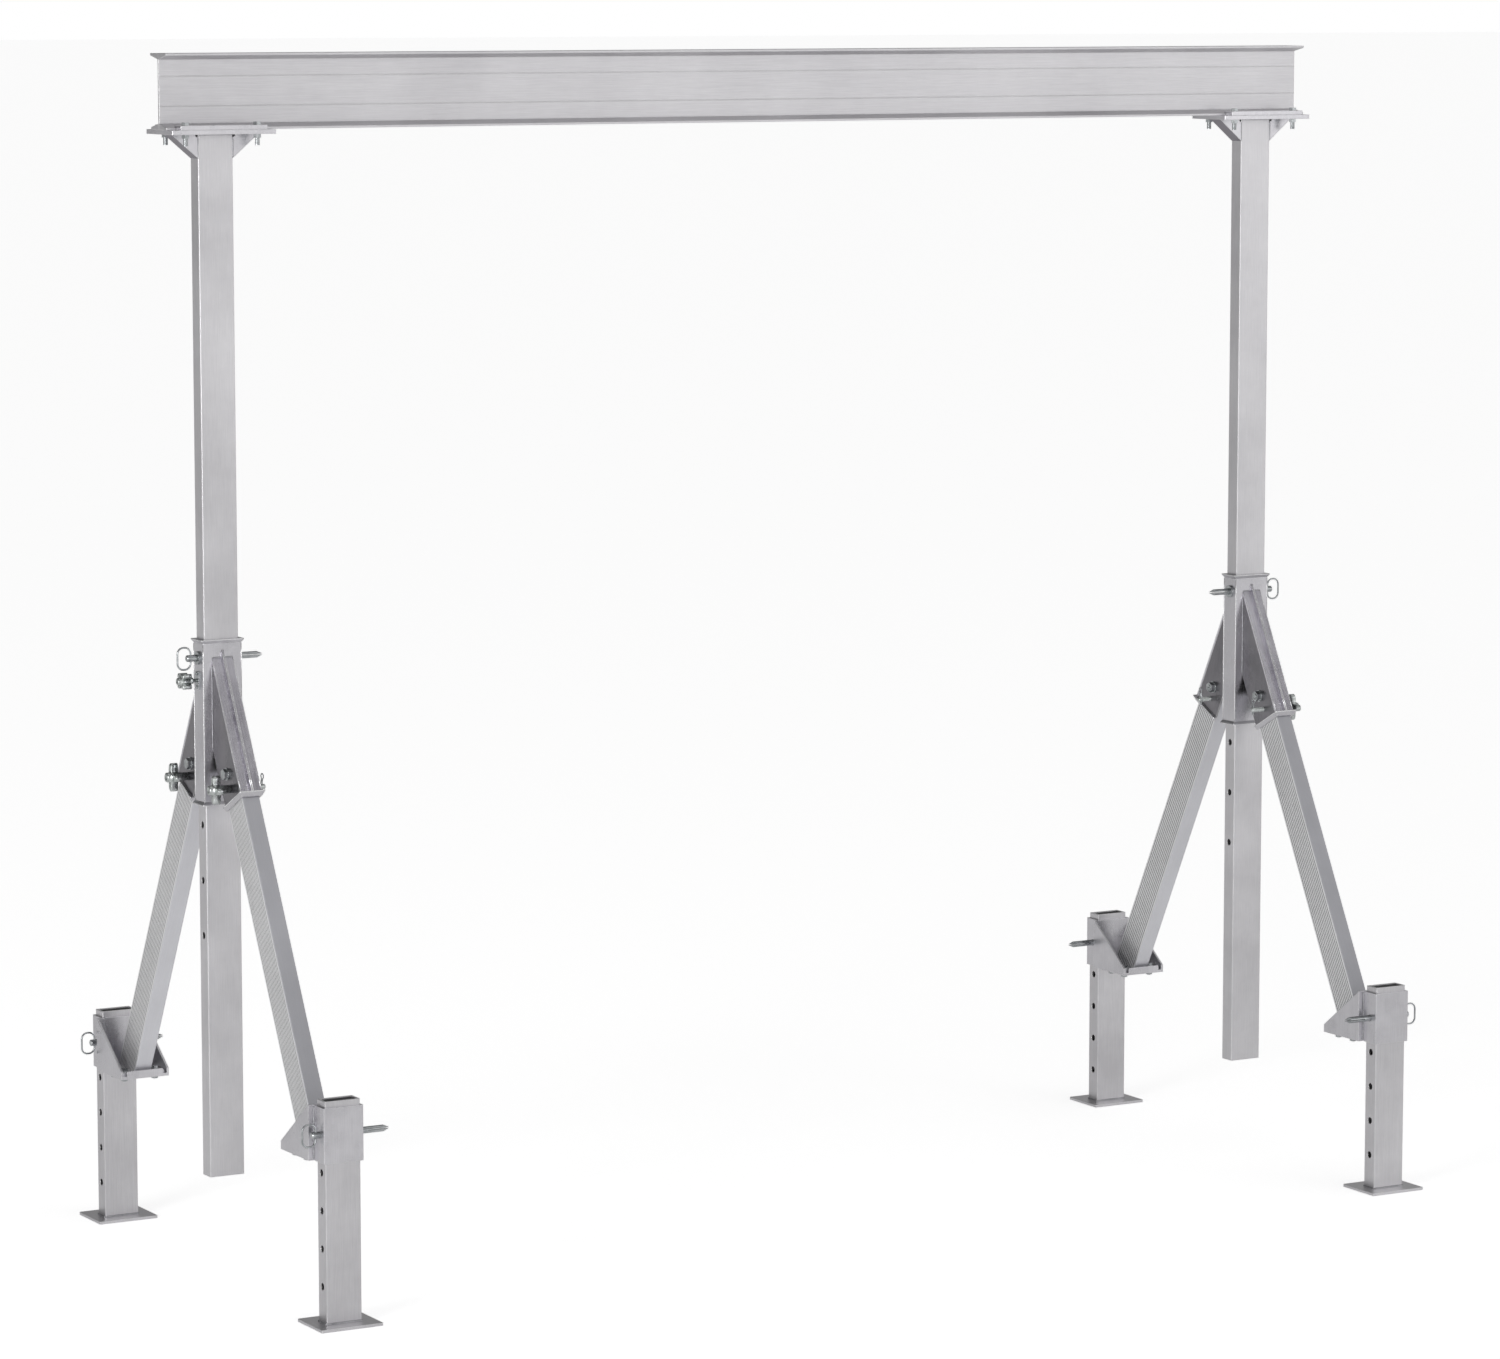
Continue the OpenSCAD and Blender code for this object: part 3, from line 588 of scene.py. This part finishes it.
# Bright towards the front right at the horizon, dim behind on the left and overhead.
world = bpy.data.worlds.new("studio")
bpy.context.scene.world = world
world.use_nodes = True
tree = world.node_tree
tree.nodes.clear()
coords = tree.nodes.new("ShaderNodeTexCoord")
towards = tree.nodes.new("ShaderNodeVectorMath")
towards.operation = "DOT_PRODUCT"
tree.links.new(coords.outputs["Generated"], towards.inputs[0])
towards.inputs[1].default_value = (0.55, -0.83, 0)
across = tree.nodes.new("ShaderNodeMapRange")
across.inputs[1].default_value = -0.95
across.inputs[2].default_value = 0.85
across.inputs[3].default_value = 0.22
across.inputs[4].default_value = 1.0
tree.links.new(towards.outputs["Value"], across.inputs[0])
parts = tree.nodes.new("ShaderNodeSeparateXYZ")
tree.links.new(coords.outputs["Generated"], parts.inputs[0])
upward = tree.nodes.new("ShaderNodeMapRange")
upward.inputs[1].default_value = 0.05
upward.inputs[2].default_value = 0.60
upward.inputs[3].default_value = 1.0
upward.inputs[4].default_value = 0.30
tree.links.new(parts.outputs[2], upward.inputs[0])
level = tree.nodes.new("ShaderNodeMath")
level.operation = "MULTIPLY"
tree.links.new(across.outputs[0], level.inputs[0])
tree.links.new(upward.outputs[0], level.inputs[1])
soft = tree.nodes.new("ShaderNodeBackground")
tree.links.new(level.outputs[0], soft.inputs[0])
soft.inputs[1].default_value = 1.1
seen = tree.nodes.new("ShaderNodeBackground")
seen.inputs[0].default_value = (1, 1, 1, 1)
seen.inputs[1].default_value = 1.0
path = tree.nodes.new("ShaderNodeLightPath")
mix = tree.nodes.new("ShaderNodeMixShader")
tree.links.new(path.outputs["Is Camera Ray"], mix.inputs[0])
tree.links.new(soft.outputs[0], mix.inputs[1])
tree.links.new(seen.outputs[0], mix.inputs[2])
out = tree.nodes.new("ShaderNodeOutputWorld")
tree.links.new(mix.outputs[0], out.inputs[0])


def lamp(name, kind, energy, at, towards, **values):
    """A light at a place, aimed at a point."""
    data = bpy.data.lights.new(name, kind)
    data.energy = energy
    for key, value in values.items():
        setattr(data, key, value)
    obj = bpy.data.objects.new(name, data)
    obj.location = at
    obj.rotation_euler = (Vector(towards) - Vector(at)).to_track_quat("-Z", "Y").to_euler()
    bpy.context.scene.collection.objects.link(obj)


lamp("overhead", "SUN", 0.28, (1, -2, 10), (0, 0, 0), angle=math.radians(60))
lamp("left_box", "AREA", 400, (-11, -5.5, 3.2), (0, 0, 1.8), shape="RECTANGLE", size=4, size_y=6)
lamp("right_box", "AREA", 45, (8, -12, 4.0), (0, 0, 1.6), shape="RECTANGLE", size=5, size_y=6)

camera_data = bpy.data.cameras.new("camera")
camera_data.sensor_fit = "HORIZONTAL"
camera_data.sensor_width = 36
camera_data.lens = 133.8
camera_data.clip_end = 1000
camera = bpy.data.objects.new("camera", camera_data)
bpy.context.scene.collection.objects.link(camera)
camera.location = (-7.706, -13.557, 3.454)
azimuth, pitch = math.radians(29.53), math.radians(7.134)
forward = Vector((math.sin(azimuth) * math.cos(pitch), math.cos(azimuth) * math.cos(pitch), -math.sin(pitch)))
camera.rotation_euler = forward.to_track_quat("-Z", "Y").to_euler()
bpy.context.scene.camera = camera
bpy.context.scene.view_settings.view_transform = "Standard"
